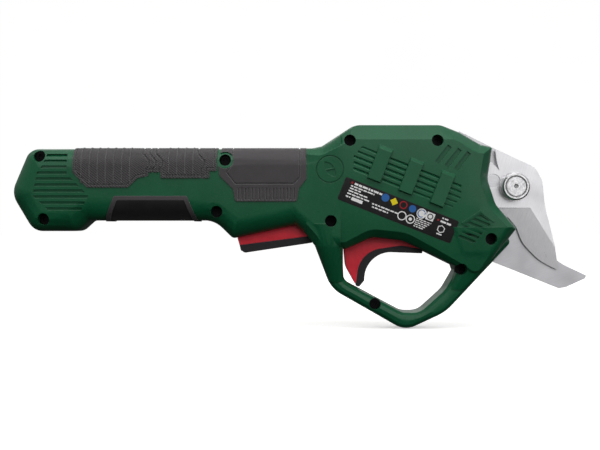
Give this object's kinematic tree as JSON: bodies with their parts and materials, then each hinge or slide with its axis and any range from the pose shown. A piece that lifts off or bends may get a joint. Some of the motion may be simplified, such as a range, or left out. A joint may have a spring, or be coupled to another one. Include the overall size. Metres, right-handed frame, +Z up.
{
  "type": "battery electric pruner",
  "caption": "Pistol-style cordless pruner: straight grip, raised head with finger guard, trigger, safety lever and bypass blades driven by a geared motor.",
  "frame": {"origin": "centre of the hand grip, on the parting plane", "axes": "+X towards the blades, +Z up, -Y is the tool's right-hand side"},
  "size_m": [0.3688, 0.054, 0.1296],
  "materials": {
    "green_plastic": "textured green housing plastic",
    "grip_rubber": "soft-touch grip",
    "palm_rubber": "soft-touch palm pad",
    "red_plastic": "red trigger plastic",
    "black_rubber": "soft facing",
    "black_plastic": "black moulded",
    "label_film": "printed film",
    "blade_steel": "ground steel",
    "bolt_steel": "turned steel",
    "black_screw": "black oxide screw",
    "gear_steel": "machined steel",
    "bearing_steel": "polished steel",
    "zinc_housing": "die-cast",
    "motor_steel": "zinc-plated steel",
    "magnet": "ferrite",
    "copper_rotor": "lacquered copper and steel",
    "cell_wrap": "shrink wrap",
    "nickel": "nickel strip",
    "board_green": "solder mask",
    "spring_steel": "spring wire",
    "wire_red": "wire sleeve"
  },
  "bodies": {
    "tool": {"right_housing": "green_plastic", "left_housing": "green_plastic", "right_upper_grip": "grip_rubber", "left_upper_grip": "grip_rubber", "right_front_grip": "grip_rubber", "left_front_grip": "grip_rubber", "right_palm_pad": "palm_rubber", "left_palm_pad": "palm_rubber", "rating_label": "label_film", "housing_screws": "black_screw", "fixed_blade": "blade_steel", "pivot_bolt": "bolt_steel", "pivot_washers": "bolt_steel", "pivot_sleeve": "bolt_steel", "pivot_nut": "bolt_steel", "output_bearing": "bearing_steel", "gearbox_housing": "zinc_housing", "gearbox_cover": "zinc_housing", "gearbox_screws": "black_screw", "motor_can": "motor_steel", "motor_magnets": "magnet", "motor_brushes": "magnet", "motor_end_bell": "black_plastic", "upper_cell": "cell_wrap", "lower_cell": "cell_wrap", "cell_holder": "black_plastic", "nickel_strips": "nickel", "control_board": "board_green", "board_parts": "black_plastic", "heat_sink": "zinc_housing", "charge_socket": "bearing_steel", "trigger_pin": "bolt_steel", "trigger_spring": "spring_steel", "trigger_switch": "black_plastic", "safety_pin": "bolt_steel", "safety_spring": "spring_steel", "safety_switch": "black_plastic", "battery_wires": "wire_red", "motor_wires": "wire_red", "switch_wires": "black_plastic"},
    "blade": {"moving_blade": "blade_steel", "drive_pin": "bolt_steel", "gear_sector": "gear_steel"},
    "output": {"output_shaft": "gear_steel"},
    "first_carrier": {"first_carrier": "gear_steel"},
    "rotor": {"motor_rotor": "copper_rotor", "motor_pinion": "gear_steel"},
    "trigger": {"trigger_lever": "red_plastic", "trigger_pad": "black_rubber"},
    "trigger_plunger": {"trigger_plunger": "red_plastic"},
    "lever": {"safety_lever": "red_plastic", "safety_pad": "black_rubber"},
    "safety_plunger": {"safety_plunger": "red_plastic"},
    "first_planet_1": {"first_planet_1": "gear_steel"},
    "first_planet_2": {"first_planet_2": "gear_steel"},
    "first_planet_3": {"first_planet_3": "gear_steel"},
    "second_planet_1": {"second_planet_1": "gear_steel"},
    "second_planet_2": {"second_planet_2": "gear_steel"},
    "second_planet_3": {"second_planet_3": "gear_steel"}
  },
  "joints": [
    {"name": "blade_pivot", "type": "hinge", "parent": "tool", "child": "blade", "pos_m": [0.2098, 0, 0], "axis": [0, -1, 0], "range_deg": [0, 44]},
    {"name": "output_spin", "type": "hinge", "parent": "tool", "child": "output", "pos_m": [0.16, 0, 0], "axis": [1, 0, 0], "range_deg": [-270, 5]},
    {"name": "carrier_spin", "type": "hinge", "parent": "tool", "child": "first_carrier", "pos_m": [0.15, 0, 0], "axis": [1, 0, 0], "range_deg": [-1340, 5]},
    {"name": "motor_spin", "type": "hinge", "parent": "tool", "child": "rotor", "pos_m": [0.12, 0, 0], "axis": [1, 0, 0], "range_deg": [-6700, 5]},
    {"name": "first_planet_1_spin", "type": "hinge", "parent": "first_carrier", "child": "first_planet_1", "pos_m": [0.1495, 0, 0.009], "axis": [1, 0, 0], "range_deg": [-5, 3540]},
    {"name": "first_planet_2_spin", "type": "hinge", "parent": "first_carrier", "child": "first_planet_2", "pos_m": [0.1495, -0.00779, -0.0045], "axis": [1, 0, 0], "range_deg": [-5, 3540]},
    {"name": "first_planet_3_spin", "type": "hinge", "parent": "first_carrier", "child": "first_planet_3", "pos_m": [0.1495, 0.00779, -0.0045], "axis": [1, 0, 0], "range_deg": [-5, 3540]},
    {"name": "second_planet_1_spin", "type": "hinge", "parent": "output", "child": "second_planet_1", "pos_m": [0.1585, 0, 0.009], "axis": [1, 0, 0], "range_deg": [-5, 724]},
    {"name": "second_planet_2_spin", "type": "hinge", "parent": "output", "child": "second_planet_2", "pos_m": [0.1585, -0.00779, -0.0045], "axis": [1, 0, 0], "range_deg": [-5, 724]},
    {"name": "second_planet_3_spin", "type": "hinge", "parent": "output", "child": "second_planet_3", "pos_m": [0.1585, 0.00779, -0.0045], "axis": [1, 0, 0], "range_deg": [-5, 724]},
    {"name": "trigger_pull", "type": "hinge", "parent": "tool", "child": "trigger", "pos_m": [0.157, 0, -0.0355], "axis": [0, 1, 0], "range_deg": [0, 8], "stiffness_Nm_per_rad": 1.2, "springref_deg": -6.88, "deforming": ["trigger_spring"]},
    {"name": "trigger_plunger_slide", "type": "slide", "parent": "tool", "child": "trigger_plunger", "axis": [0, 0, 1], "range_m": [0, 0.0022]},
    {"name": "safety_press", "type": "hinge", "parent": "tool", "child": "lever", "pos_m": [0.079, 0, -0.028], "axis": [0, 1, 0], "range_deg": [0, 5], "stiffness_Nm_per_rad": 1.2, "springref_deg": -6.88, "deforming": ["safety_spring"]},
    {"name": "safety_plunger_slide", "type": "slide", "parent": "tool", "child": "safety_plunger", "axis": [0, 0, 1], "range_m": [0, 0.002]}
  ],
  "couplings": [
    {"joint": "output_spin", "follows": "blade_pivot", "ratio": -6},
    {"joint": "carrier_spin", "follows": "blade_pivot", "ratio": -30},
    {"joint": "motor_spin", "follows": "blade_pivot", "ratio": -150},
    {"joint": "first_planet_1_spin", "follows": "blade_pivot", "ratio": 80},
    {"joint": "first_planet_2_spin", "follows": "blade_pivot", "ratio": 80},
    {"joint": "first_planet_3_spin", "follows": "blade_pivot", "ratio": 80},
    {"joint": "second_planet_1_spin", "follows": "blade_pivot", "ratio": 16},
    {"joint": "second_planet_2_spin", "follows": "blade_pivot", "ratio": 16},
    {"joint": "second_planet_3_spin", "follows": "blade_pivot", "ratio": 16},
    {"joint": "trigger_plunger_slide", "follows": "trigger_pull", "m_per_rad": 0.015},
    {"joint": "safety_plunger_slide", "follows": "safety_press", "m_per_rad": 0.021}
  ]
}
